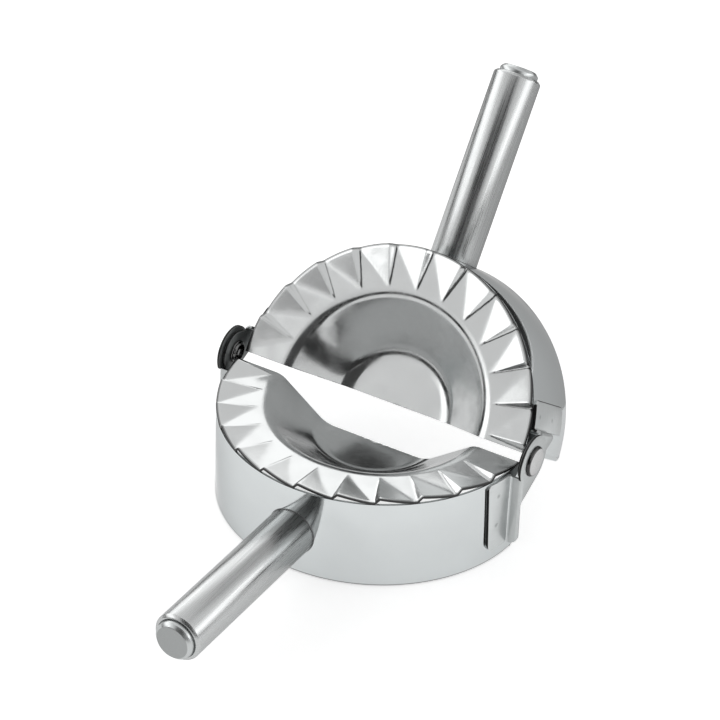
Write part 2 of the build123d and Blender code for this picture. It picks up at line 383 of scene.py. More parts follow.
def polished_sheet(finish, looks, half):
    """Band: nearly a mirror, with faint rolling lines, rubbed clouds and painted shade along its cutting edge."""
    foot = bpy.context.scene.press_bands.bottom
    place = finish.half_place(half)
    rolling = finish.noise(finish.stretched(place, (40, 40, 6000)), 1.0, 2.0)
    clouds = finish.noise(place, 70.0, 3.0)
    rub = finish.noise(finish.stretched(place, (300, 300, 900)), 1.0, 4.0)
    # Painted shade: the band turns near black just above its cutting edge, where it meets the floor.
    ground = finish.span(finish.along(place, "Z"), foot + 0.4 * MM, foot + 0.7 * MM, 0.8, 0.0)
    tint = finish.mottled(clouds, looks.band_colour, 0.95, 1.03)
    tint = finish.over(tint, ground, looks.cut_colour, 2.4)
    roughness = finish.span(rub, 0.35, 0.75, looks.band_gloss * 0.8, looks.band_gloss * 1.6)
    return tint, roughness, finish.bump(rolling * 0.6 + clouds * 2.0, 0.004 * MM)


def pressed_sheet(finish, looks, half):
    """Dish: bright sheet with the soft unevenness that pressing leaves, painted shade on its lip, and a near-black
    cut edge that is partly the sheared edge and partly painted shade.
    """
    rim = bpy.context.scene.press_bands.radius
    place = finish.half_place(half)
    peel = finish.noise(place, 900.0, 2.0)
    drawn = finish.noise(place, 120.0, 4.0)
    out = finish.distance(place, (1, 1, 0))
    lip = finish.span(out, rim - 0.7 * MM, rim - 0.4 * MM, 0.0, 0.8)
    cut = finish.span(out, rim - 0.22 * MM, rim - 0.08 * MM, 0.0, 1.0)
    tint = finish.mottled(drawn, looks.dish_colour, 0.92, 1.04)
    # Painted shade: the outer lip darkened, for the shade in the gap between the dish and the band.
    tint = finish.over(tint, lip, looks.dish_colour, 0.3)
    # The cut edge near black: partly the sheared edge's own dullness, partly painted shade of the gap at the band.
    tint = finish.over(tint, cut, looks.cut_colour, 1.0)
    roughness = finish.span(drawn, 0.3, 0.7, looks.dish_gloss * 0.7, looks.dish_gloss * 1.5) + cut * 0.15
    return tint, roughness, finish.bump(peel * 0.6 + drawn * 2.0, 0.006 * MM)


def brushed_tube(finish, looks, half):
    """Handle: brushed along its length."""
    drop = bpy.context.scene.press_handles.drop
    place = finish.half_place(half, (0, 0, -drop))
    streak = finish.noise(finish.stretched(place, (3200, 45, 3200)), 1.0, 3.0, 0.6)
    broad = finish.noise(finish.stretched(place, (700, 18, 700)), 1.0, 2.0)
    mixed = streak * 0.8 + broad * 0.2
    tint = finish.mottled(mixed, looks.tube_colour, 0.91, 1.08)
    roughness = finish.span(mixed, 0.3, 0.7, looks.tube_gloss * 0.75, looks.tube_gloss * 1.35)
    return tint, roughness, finish.bump(mixed, 0.005 * MM)


def turned_cap(finish, looks, half):
    """End cap: fine rings from turning, and a painted highlight on the bevel round its face."""
    sizes = bpy.context.scene.press_handles
    place = finish.half_place(half, (0, -sizes.cap_reach, -sizes.drop))
    radius = finish.distance(place, (1, 0, 1))
    rings = finish.noise(finish.node("ShaderNodeCombineXYZ", {}, {"X": radius * 9000.0}), 1.0, 2.0)
    grain = finish.noise(place, 2500.0, 3.0)
    mixed = rings * 0.6 + grain * 0.4
    face = sizes.cap_radius - sizes.cap_bevel
    bevel = finish.span(radius, face, face + 0.15 * MM, 0.0, 1.0)
    tint = finish.mottled(mixed, looks.cap_colour, 0.85, 1.12)
    # Painted highlight: the bevel round the face is made lighter.
    tint = finish.over(tint, bevel, looks.cap_colour, 1.6)
    roughness = finish.span(mixed, 0.3, 0.7, looks.tube_gloss * 0.9, looks.tube_gloss * 1.5)
    return tint, roughness, finish.bump(mixed, 0.01 * MM)


def satin_bracket(finish, looks, half, way, sizes):
    """Bracket: satin sheet with two spot welds in its plate, painted shade along its far edge, its ear's rim and, on
    the rear, its top edge, and painted shade over its arm, wall and ear, darkest on the ear's inner face.
    """
    band = bpy.context.scene.press_bands
    sheet = bpy.context.scene.press_bracket_sheet
    place = finish.half_place(half)
    across, deep, high = (finish.along(place, axis) for axis in "XYZ")
    side = abs(across)
    grain = finish.noise(finish.stretched(place, (400, 400, 2600)), 1.0, 3.0)
    clouds = finish.noise(place, 110.0, 2.0)
    tint = finish.mottled(clouds, looks.bracket_colour, 0.93, 1.05)
    roughness = finish.span(grain, 0.3, 0.7, looks.bracket_gloss * 0.8, looks.bracket_gloss * 1.2)
    relief = grain * 0.012

    for weld in (sizes.upper_weld, sizes.lower_weld):
        spot = (way * band.radius * cos(sizes.weld_turn), -band.radius * sin(sizes.weld_turn), -weld)
        pit = finish.span(finish.vector_math("DISTANCE", place, spot), 0.4 * MM, 1.3 * MM, 1.0, 0.0)
        relief = relief - pit
        tint = finish.over(tint, pit * 0.85, looks.bracket_colour, 0.3)

    top = band.top - sheet.plate_clearance
    outward = Vector((0, -cos(sizes.plate_taper), -sin(sizes.plate_taper)))
    far = outward.dot((0, -sizes.plate_reach, top))
    reach = finish.vector_math("DOT_PRODUCT", place, outward)
    far_edge = finish.span(reach, far - 0.3 * MM, far - 0.2 * MM, 0.0, 1.0)
    # Painted shadow line along the plate's far edge, where it stands off the band.
    tint = finish.over(tint, far_edge, looks.cut_colour, 0.4)

    past = side > band.radius + 1.3 * sheet.sheet
    free = past * ((deep > -sizes.wall + 0.3 * MM) + (high > -sizes.arm_top) > 0.5)
    wall = (past - free) * (side < sizes.ear_face - sheet.sheet)
    inside = free * (side < sizes.ear_face - 0.4 * sheet.sheet)
    # Painted shade: the arm and ear past the band darker than the plate, the short wall darker still, and the ear's
    # inner face much darker.
    for mask, shade in ((past, 0.84), (wall, 0.72), (inside, 0.26)):
        tint = finish.over(tint, mask, looks.bracket_colour, shade)

    amid = abs(side - sizes.ear_face + sheet.sheet / 2) < 0.3 * MM
    rim = free * (finish.distance(place, (0, 1, 1)) > sizes.ear_radius - 0.2 * MM) * amid
    # Painted shade along the ear's cut rim.
    tint = finish.over(tint, rim, looks.cut_colour, 0.6)
    # Painted shade along the top edge of the rear plates, below the dish's rim.
    if half == "rear":
        brow = (high > top - 0.15 * MM) * (1 - past)
        tint = finish.over(tint, brow, looks.cut_colour, 0.6)
    return tint, roughness + inside * 0.1, finish.bump(relief, 0.14 * MM)


def bright_rivet(finish, looks, half):
    """Rivet and washer: bright, with light handling marks, and painted shade round the side of the head and on the
    tail inside the ears.
    """
    sizes = bpy.context.scene.press_rivets
    place = finish.half_place(half)
    marks = finish.noise(place, 700.0, 4.0, 0.6)
    out = finish.distance(place, (0, 1, 1))
    side = finish.span(out, sizes.head_radius - 0.75 * MM, sizes.head_radius - 0.35 * MM, 0.0, 1.0)
    tail = abs(finish.along(place, "X")) < sizes.ear_face - 1 * MM
    tint = finish.mottled(marks, looks.rivet_colour, 0.85, 1.12)
    # Painted shade round the side of the head.
    tint = finish.over(tint, side, looks.rivet_colour, 0.1)
    # Painted shade on the tail and all that lies more than 1 mm inside the ear's face.
    tint = finish.over(tint, tail, looks.rivet_colour, 0.3)
    return tint, finish.span(marks, 0.35, 0.7, 0.12, 0.26), finish.bump(marks, 0.012 * MM)


def weld_bead(finish, looks, half):
    """Weld: dull and darker, with small ripples."""
    ripple = finish.noise(finish.half_place(half), 1800.0, 3.0)
    tint = finish.mottled(ripple, looks.weld_colour, 0.7, 1.3)
    return tint, finish.span(ripple, 0.3, 0.7, 0.3, 0.5), finish.bump(ripple, 0.05 * MM)


def half_matrix(half):
    """Where a half's own frame stands in the frame of the whole."""
    sizes = bpy.context.scene.press_sizes
    place = Matrix.Translation(sizes.hinge_centre)
    if half == "rear":
        place = place @ Matrix.Rotation(sizes.open_tilt, 4, "X") @ Matrix.Rotation(pi, 4, "Z")
    return place


def bracket_sizes(half):
    """The sizes of a half's brackets, by name."""
    pairs = bpy.context.scene.press_brackets
    side = ("front", "rear").index(half)
    return SimpleNamespace(**{name: getattr(pairs, name)[side] for name in BracketSizes.__annotations__})


def begin(add, **options):
    """Add a primitive by itself, with its place in its mesh, and open it for editing."""
    bpy.ops.object.select_all(action="DESELECT")
    add(**options)
    bpy.ops.object.transform_apply()
    bpy.ops.object.mode_set(mode="EDIT")
    bpy.ops.mesh.select_mode(type="VERT")
    select_all()
    return bpy.context.object


def begin_rod(axis, low, high, radius, sides, level=0, ends="NGON"):
    """Begin a cylinder along an axis, from one place on it to another, at a level over the hinge line."""
    centre = Vector(((low + high) / 2 if name == axis else 0) for name in "XYZ")
    return begin(
        bpy.ops.mesh.primitive_cylinder_add,
        vertices=sides,
        radius=radius,
        depth=high - low,
        end_fill_type=ends,
        location=centre + Vector((0, 0, level)),
        rotation=AXIS_TURNS[axis],
    )


def leave_mesh():
    """Go back from editing a mesh to its object."""
    bpy.ops.object.mode_set(mode="OBJECT")


def select_all():
    """Select all of the mesh being edited."""
    bpy.ops.mesh.select_all(action="SELECT")


def pick(kind, test):
    """Select by place the vertices, edges or faces of the mesh being edited."""
    bpy.ops.mesh.select_mode(type=kind)
    bpy.ops.mesh.select_all(action="DESELECT")
    mesh = bpy.context.object.data
    edited = bmesh.from_edit_mesh(mesh)
    for element in getattr(edited, f"{kind.lower()}s"):
        if test(element):
            element.select_set(True)
    edited.select_flush_mode()
    bmesh.update_edit_mesh(mesh)


def middle(element):
    """Middle of an edge or face."""
    return sum((vertex.co for vertex in element.verts), Vector()) / len(element.verts)


def pick_rim(axis, place, beyond=0, level=0):
    """Select the edges at a place along an axis, where they lie beyond a radius round it."""
    along = Vector(name == axis for name in "XYZ")

    def at_rim(edge):
        spot = middle(edge) - Vector((0, 0, level))
        way = spot.dot(along)
        return abs(way - place) < NEAR and (spot - along * way).length > beyond

    pick("EDGE", at_rim)


def keep_side(point, normal):
    """Cut the mesh along a plane and drop what lies on the normal's side."""
    select_all()
    bpy.ops.mesh.bisect(plane_co=point, plane_no=normal, clear_outer=True, threshold=1e-7)


def cut_corner(centre, radius, toward_y, toward_z):
    """Round a corner, seen along X, by cuts round its centre."""
    for step in range(1, CORNER_STEPS):
        lean = radians(90 * step / CORNER_STEPS)
        outward = Vector((0, toward_y * cos(lean), toward_z * sin(lean)))
        keep_side(centre + outward * radius, outward)


def merge_all(distance=MERGE):
    """Merge the points of the mesh that lie on each other."""
    select_all()
    bpy.ops.mesh.remove_doubles(threshold=distance)


def turn_faces(wrong):
    """Make all faces face one way, and the other way where a test of them finds that wrong."""
    bpy.ops.mesh.normals_make_consistent()
    edited = bmesh.from_edit_mesh(bpy.context.object.data)
    edited.normal_update()
    if wrong(edited.faces):
        select_all()
        bpy.ops.mesh.flip_normals()


def bevel(width, segments=1, affect="EDGES"):
    """Bevel the edges or points that are selected."""
    bpy.ops.mesh.bevel(offset=width, segments=segments, affect=affect)


def spin_round(steps, turn, centre=(0, 0, 0), axis=(0, 0, 1), copies=False):
    """Sweep or repeat what is selected round an axis, anticlockwise seen from its tip."""
    bpy.ops.mesh.spin(steps=steps, dupli=copies, angle=-turn, center=centre, axis=axis)


def apply_modifier(piece, kind, **settings):
    """Leave the mesh, add a modifier with its settings and apply it."""
    leave_mesh()
    modifier = piece.modifiers.new(kind.title(), kind)
    for name, value in settings.items():
        setattr(modifier, name, value)
    bpy.ops.object.modifier_apply(modifier=modifier.name)


def smooth(sharpest):
    """Shade smooth all edges that bend by fewer degrees."""
    bpy.ops.object.shade_smooth_by_angle(angle=radians(sharpest))


def soften(piece, width, sharpest):
    """Round the edges that bend by more degrees, and shade the rest smooth."""
    limit = {"limit_method": "ANGLE", "angle_limit": radians(sharpest)}
    apply_modifier(piece, "BEVEL", width=width, segments=2, miter_outer="MITER_ARC", **limit)
    smooth(28)


def settle(pattern, name, node, place, material):
    """Set a copy of a modelled piece in its place, in the stead of a CAD node."""
    piece = bpy.data.objects.new(name, pattern.data.copy())
    piece.data.name = name
    bpy.context.scene.collection.objects.link(piece)
    piece.data.transform(place)
    if place.determinant() < 0:
        piece.data.flip_normals()
    piece.data.materials.append(material)
    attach(piece, frame["nodes"][node]["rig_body"])
    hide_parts(node)


def put_away(*patterns):
    """Remove the patterns that the copies were made from."""
    for pattern in patterns:
        bpy.data.objects.remove(pattern)


def set_in_halves(*parts):
    """Set each pattern in both halves, by the names of its piece and node and its steel's drawing function."""
    for half in ("front", "rear"):
        for pattern, piece, node, draw in parts:
            material = steel(f"{half}_{draw.__name__}", draw, half)
            settle(pattern, f"{half}_{piece}", f"{half}_{node}", half_matrix(half), material)
    put_away(*(pattern for pattern, *_ in parts))


class PRESS_OT_bands(bpy.types.Operator):
    """Roll the cutting band once and set it in both halves"""

    bl_idname = "press.bands"
    bl_label = "Cutting bands"

    def execute(self, context):
        shared, sizes = context.scene.press_sizes, context.scene.press_bands
        band = begin_rod("Z", sizes.bottom, sizes.top, sizes.radius, BAND_SIDES, ends="NOTHING")
        keep_side((0, -shared.half_gap, 0), (0, 1, 0))
        corner = Vector((0, -shared.half_gap - sizes.corner, sizes.bottom + sizes.corner))
        cut_corner(corner, sizes.corner, 1, -1)
        apply_modifier(band, "SOLIDIFY", thickness=sizes.wall, offset=-1, use_even_offset=True)
        bpy.ops.object.mode_set(mode="EDIT")
        pick_rim("Z", sizes.bottom, sizes.radius - 0.1 * MM)
        bevel(sizes.cutting_bevel)
        soften(band, shared.edge_round * 0.6, 35)
        set_in_halves((band, "band_sheet", "band", polished_sheet))
        return {"FINISHED"}


class PRESS_OT_dishes(bpy.types.Operator):
    """Press the dish with its pocket and flutes once and set it in both halves"""

    bl_idname = "press.dishes"
    bl_label = "Pressed dishes"

    columns = 32  # across one flute
    rings = 10  # from where the flutes begin to the rim
    runs = 6  # along the floor, and as many along the pocket's wall
    floor_steps = 8  # round the bend at the floor
    rim_steps = 6  # round the bend at the rim
    end_steps = 5  # beyond the last flutes
    end_turn = radians(2.6)

    def execute(self, context):
        shared, band, sizes = context.scene.press_sizes, context.scene.press_bands, context.scene.press_dishes
        dish = begin(bpy.ops.mesh.primitive_plane_add, size=MM, location=(0, 0, sizes.rim_level - sizes.pocket_depth))
        self.draw_profile(sizes, band.radius)
        select_all()
        spin_round(self.columns, sizes.flute_pitch)
        merge_all()
        self.raise_flute(sizes, band.radius)
        select_all()
        others = sizes.flute_count - 1
        spin_round(others, others * sizes.flute_pitch, copies=True)
        merge_all()
        self.add_ends(sizes)
        merge_all()
        turn_faces(lambda faces: sum(face.normal.z * face.calc_area() for face in faces) < 0)
        pick("VERT", lambda vertex: vertex.co.xy.length > sizes.flute_start + 0.1 * MM)
        bpy.ops.mesh.vertices_smooth(factor=0.5, xaxis=False, yaxis=False)
        leave_mesh()
        dish.rotation_euler.z = 1.5 * pi - sizes.flute_count * sizes.flute_pitch / 2
        bpy.ops.object.transform_apply()
        bpy.ops.object.mode_set(mode="EDIT")
        keep_side((0, -shared.half_gap, 0), (0, 1, 0))
        apply_modifier(dish, "SOLIDIFY", thickness=sizes.sheet, offset=-1, use_even_offset=False)
        soften(dish, shared.edge_round, 72)
        set_in_halves((dish, "dish_sheet", "dish", pressed_sheet))
        return {"FINISHED"}

    def draw_profile(self, sizes, rim_radius):
        """Line of the dish's upper face, from the middle out along X."""
        slope = atan2(sizes.pocket_depth, sizes.pocket_radius - sizes.floor_radius)
        floor_tangent = sizes.floor_bend * tan(slope / 2)
        rim_tangent = sizes.rim_bend * tan(slope / 2)
        slant = sqrt(sizes.pocket_depth**2 + (sizes.pocket_radius - sizes.floor_radius) ** 2)
        wall = slant - floor_tangent - rim_tangent
        bpy.ops.mesh.merge(type="CENTER")
        self.draw_on(sizes.floor_radius - floor_tangent, 0, self.runs)
        floor_level = sizes.rim_level - sizes.pocket_depth
        floor_centre = (sizes.floor_radius - floor_tangent, 0, floor_level + sizes.floor_bend)
        spin_round(self.floor_steps, -slope, floor_centre, (0, 1, 0))
        self.draw_on(wall * cos(slope), wall * sin(slope), self.runs)
        rim_centre = (sizes.pocket_radius + rim_tangent, 0, sizes.rim_level - sizes.rim_bend)
        spin_round(self.rim_steps, slope, rim_centre, (0, 1, 0))
        self.draw_on(sizes.flute_start - sizes.pocket_radius - rim_tangent, 0, 1)
        self.draw_on(rim_radius - sizes.flute_start, 0, self.rings)

    def draw_on(self, outward, upward, steps):
        """Draw the line on from its end, in equal steps."""
        for _ in range(steps):
            bpy.ops.mesh.extrude_vertices_move(TRANSFORM_OT_translate={"value": (outward / steps, 0, upward / steps)})

    def raise_flute(self, sizes, rim_radius):
        """Raise one flute: a pyramid from a point near the pocket to a saw tooth at the rim."""
        steep = rim_radius * sizes.flute_step
        gentle = rim_radius * (sizes.flute_pitch - sizes.flute_step)
        for ring in range(1, self.rings + 1):
            growth = ring / self.rings
            radius = sizes.flute_start + growth * (rim_radius - sizes.flute_start)
            for column in range(1, self.columns):
                turn = column * sizes.flute_pitch / self.columns
                beside = (turn - sizes.flute_step) * radius
                fall = beside / gentle if beside > 0 else -beside / steep
                height = sizes.flute_height * (growth - fall)
                if height > 0:
                    spot = Vector((radius * cos(turn), radius * sin(turn), sizes.rim_level))
                    pick("VERT", lambda vertex: (vertex.co - spot).length < NEAR)
                    bpy.ops.transform.translate(value=(0, 0, height))

    def add_ends(self, sizes):
        """Plain strips of the dish from the last flutes to beyond the hinge side."""
        whole = sizes.flute_count * sizes.flute_pitch
        for edge_turn, way in ((0, -1), (whole, 1)):

            def on_edge(vertex):
                along = Vector((cos(edge_turn), sin(edge_turn)))
                across = vertex.co.xy.cross(along) if vertex.co.xy.length else 0
                return abs(across) < MERGE and vertex.co.xy.dot(along) > -MERGE

            pick("VERT", on_edge)
            spin_round(self.end_steps, way * self.end_turn)


class PRESS_OT_handles(bpy.types.Operator):
    """Turn the handle's tube and its weld bead once and set them on both halves"""

    bl_idname = "press.handles"
    bl_label = "Handle tubes"

    def execute(self, context):
        band, sizes = context.scene.press_bands, context.scene.press_handles
        root = band.radius - sizes.root_sink
        tube = begin_rod("Y", -sizes.reach, -root, sizes.radius, TUBE_SIDES, level=-sizes.drop)
        pick("FACE", lambda face: face.normal.y < -0.9)
        bpy.ops.mesh.inset(thickness=sizes.wall)
        bpy.ops.mesh.extrude_region_move(TRANSFORM_OT_translate={"value": (0, sizes.cap_groove, 0)})
        pick_rim("Y", -sizes.reach, sizes.radius - 0.1 * MM, level=-sizes.drop)
        bevel(sizes.end_bevel)
        soften(tube, sizes.shoulder_round, 30)
        bead = begin(
            bpy.ops.mesh.primitive_torus_add,
            major_segments=TUBE_SIDES,
            minor_segments=12,
            major_radius=sizes.radius,
            minor_radius=sizes.weld_bead,
            location=(0, -band.radius, -sizes.drop),
            rotation=AXIS_TURNS["Y"],
        )
        leave_mesh()
        for vertex in bead.data.vertices:
            vertex.co.y += band.radius - sqrt(band.radius**2 - vertex.co.x**2)
        bpy.ops.object.shade_smooth()
        set_in_halves((tube, "handle_tube", "handle", brushed_tube), (bead, "handle_weld", "handle", weld_bead))
        return {"FINISHED"}


class PRESS_OT_caps(bpy.types.Operator):
    """Turn the end cap once and set it in both handles"""

    bl_idname = "press.caps"
    bl_label = "End caps"

    def execute(self, context):
        sizes = context.scene.press_handles
        root = sizes.reach - sizes.cap_groove
        cap = begin_rod("Y", -sizes.cap_reach, -root, sizes.cap_radius, TUBE_SIDES, level=-sizes.drop)
        pick_rim("Y", -sizes.cap_reach)
        bevel(sizes.cap_bevel)
        soften(cap, sizes.shoulder_round, 30)
        set_in_halves((cap, "cap_turned", "cap", turned_cap))
        return {"FINISHED"}


class PRESS_OT_brackets(bpy.types.Operator):
    """Fold the outer and the inner hinge bracket from sheet and set both at each end"""

    bl_idname = "press.brackets"
    bl_label = "Hinge brackets"

    def execute(self, context):
        scene = context.scene
        band, sheet = scene.press_bands, scene.press_bracket_sheet
        for half, right, left in (
            ("front", "front_right_bracket", "front_left_bracket"),
            ("rear", "rear_left_bracket", "rear_right_bracket"),
        ):
            sizes = bracket_sizes(half)
            bracket = self.roll_plate(band, sheet, sizes)
            self.bend_wall(band, sheet, sizes)
            merge_all(2 * MERGE)
            turn_faces(lambda faces: max(faces, key=lambda face: middle(face).x).normal.x < 0)
            apply_modifier(bracket, "SOLIDIFY", thickness=sheet.sheet, offset=-1)
            soften(bracket, scene.press_sizes.edge_round, 40)
            for node, way in ((right, 1), (left, -1)):
                place = half_matrix(half) @ Matrix.Diagonal((way, 1, 1, 1))
                material = steel(f"{node}_satin", satin_bracket, half, way, sizes)
                settle(bracket, f"{node}_sheet", node, place, material)
            put_away(bracket)
        return {"FINISHED"}

    def roll_plate(self, band, sheet, sizes):
        """The plate, rolled to the band, with its two far corners rounded."""
        top = band.top - sheet.plate_clearance
        outside = band.radius + sheet.seat + sheet.sheet
        plate = begin_rod("Z", -sizes.plate_bottom, top, outside, BAND_SIDES, ends="NOTHING")
        keep_side((0, 0, 0), (-1, 0, 0))
        keep_side((0, -sizes.plate_reach, top), (0, -cos(sizes.plate_taper), -sin(sizes.plate_taper)))
        keep_side((0, -sizes.wall - sheet.sheet, 0), (0, 1, 0))
        for level, way in ((top, 1), (-sizes.plate_bottom, -1)):
            far = (top - level) * tan(sizes.plate_taper) - sizes.plate_reach
            corner = Vector((0, far + sheet.plate_corner, level - way * sheet.plate_corner))
            cut_corner(corner, sheet.plate_corner, -1, way)
        return plate

    def bend_wall(self, band, sheet, sizes):
        """The short wall outwards, bent round to the ear, and its foot where it has one."""
        front = -sizes.wall - sheet.sheet
        foot = -sizes.plate_bottom if sizes.wall_round else -sizes.arm_bottom
        for level in (-sizes.arm_bottom, -sizes.arm_top):
            select_all()
            bpy.ops.mesh.bisect(plane_co=(0, 0, level), plane_no=(0, 0, 1))
        root = sqrt((band.radius + sheet.seat + sheet.sheet) ** 2 - front**2)

        def upright(x, low):
            def test(edge):
                spot = middle(edge)
                at_front = abs(spot.y - front) < 2 * NEAR and abs(spot.x - x) < 0.2 * MM
                return at_front and low < spot.z < -sizes.arm_top

            return test

        pick("EDGE", upright(root, foot))
        bpy.ops.mesh.extrude_edges_move(TRANSFORM_OT_translate={"value": (sizes.ear_face - root, 0, 0)})
        pick("EDGE", upright(sizes.ear_face, -sizes.arm_bottom))
        bpy.ops.mesh.extrude_edges_move(TRANSFORM_OT_translate={"value": (0, 2 * sheet.sheet, 0)})
        self.add_ear(sheet, sizes)
        pick("EDGE", upright(root, foot))
        bevel(sheet.bend - sheet.sheet, segments=5)
        pick("EDGE", upright(sizes.ear_face, -sizes.arm_bottom))
        bevel(sheet.bend, segments=8)
        if sizes.wall_round:
            low_end = Vector((sizes.ear_face, front, -sizes.plate_bottom))
            pick("VERT", lambda vertex: (vertex.co - low_end).length < 0.3 * MM)
            bevel(sizes.wall_round, segments=10, affect="VERTICES")

    def add_ear(self, sheet, sizes):
        """The ear: what the arm leaves of a disc about the hinge line, joined to the arm's end."""
        near = -(sizes.wall - sheet.sheet)
        foot, brow = Vector((near, -sizes.arm_bottom)), Vector((near, -sizes.arm_top))
        last = atan2(foot.y, foot.x) % (2 * pi) + acos(sizes.ear_radius / foot.length)
        if brow.length > sizes.ear_radius:
            first = atan2(brow.y, brow.x) % (2 * pi) - acos(sizes.ear_radius / brow.length)
        else:
            first = pi + asin(sizes.arm_top / sizes.ear_radius)
        bpy.ops.mesh.select_mode(type="VERT")
        bpy.ops.mesh.primitive_circle_add(
            vertices=EAR_SIDES,
            radius=sizes.ear_radius,
            fill_type="NOTHING",
            location=(sizes.ear_face, 0, 0),
            rotation=AXIS_TURNS["X"],
        )

        def on_rim(vertex):
            spot = vertex.co
            return abs(spot.x - sizes.ear_face) < NEAR and abs(spot.yz.length - sizes.ear_radius) < NEAR

        def at_arm(vertex):
            return first < atan2(vertex.co.z, vertex.co.y) % (2 * pi) < last

        pick("VERT", lambda vertex: on_rim(vertex) and at_arm(vertex))
        bpy.ops.mesh.delete(type="VERT")

        def outline(edge):
            return all(on_rim(end) for end in edge.verts) or all(
                abs(end.co.y - near) < NEAR and abs(end.co.x - sizes.ear_face) < NEAR for end in edge.verts
            )

        pick("EDGE", outline)
        bpy.ops.mesh.edge_face_add()


class PRESS_OT_rivets(bpy.types.Operator):
    """Turn the hinge rivet and its washer once and set them at both ends"""

    bl_idname = "press.rivets"
    bl_label = "Hinge rivets and washers"

    dome_rises = (0.5, 0.3, 0.15, 0.05)  # shares of the dome's height, ring by ring

    def execute(self, context):
        sizes = context.scene.press_rivets
        rivet = self.turn_rivet(sizes)
        washer = begin_rod("X", sizes.washer_inside, sizes.washer_outside, sizes.washer_radius, RIVET_SIDES)
        pick("EDGE", lambda edge: edge.calc_face_angle(0) > radians(60))
        bevel(sizes.washer_round, segments=2)
        leave_mesh()
        smooth(40)
        material = steel("bright_rivet_steel", bright_rivet, "front")
        for side, turn in (("right", 0), ("left", pi)):
            place = half_matrix("front") @ Matrix.Rotation(turn, 4, "Z")
            settle(rivet, f"{side}_rivet_turned", f"{side}_rivet", place, material)
            settle(washer, f"{side}_washer_turned", f"{side}_washer", place, material)
        put_away(rivet, washer)
        return {"FINISHED"}

    def turn_rivet(self, sizes):
        """The right rivet: a domed head outside the ears and a dimpled tail inside them."""
        shoulder = sizes.head_top - sizes.dome
        rivet = begin_rod("X", sizes.ear_face, shoulder, sizes.head_radius, RIVET_SIDES)
        pick("FACE", lambda face: face.normal.x < -0.9)
        bpy.ops.mesh.inset(thickness=sizes.head_radius - sizes.tail_radius)
        bpy.ops.mesh.extrude_region_move(TRANSFORM_OT_translate={"value": (sizes.tail_end - sizes.ear_face, 0, 0)})
        bpy.ops.mesh.inset(thickness=sizes.tail_radius - sizes.dimple)
        bpy.ops.mesh.extrude_region_move(TRANSFORM_OT_translate={"value": (sizes.dimple_depth, 0, 0)})
        pick_rim("X", shoulder)
        bevel(sizes.head_round, segments=8)
        pick("FACE", lambda face: face.normal.x > 0.999)
        for rise in self.dome_rises:
            bpy.ops.mesh.inset(thickness=sizes.dome_ring, depth=sizes.dome * rise)
        pick_rim("X", sizes.tail_end, sizes.dimple + 0.3 * MM)
        bevel(sizes.tail_round, segments=3)
        leave_mesh()
        smooth(40)
        return rivet


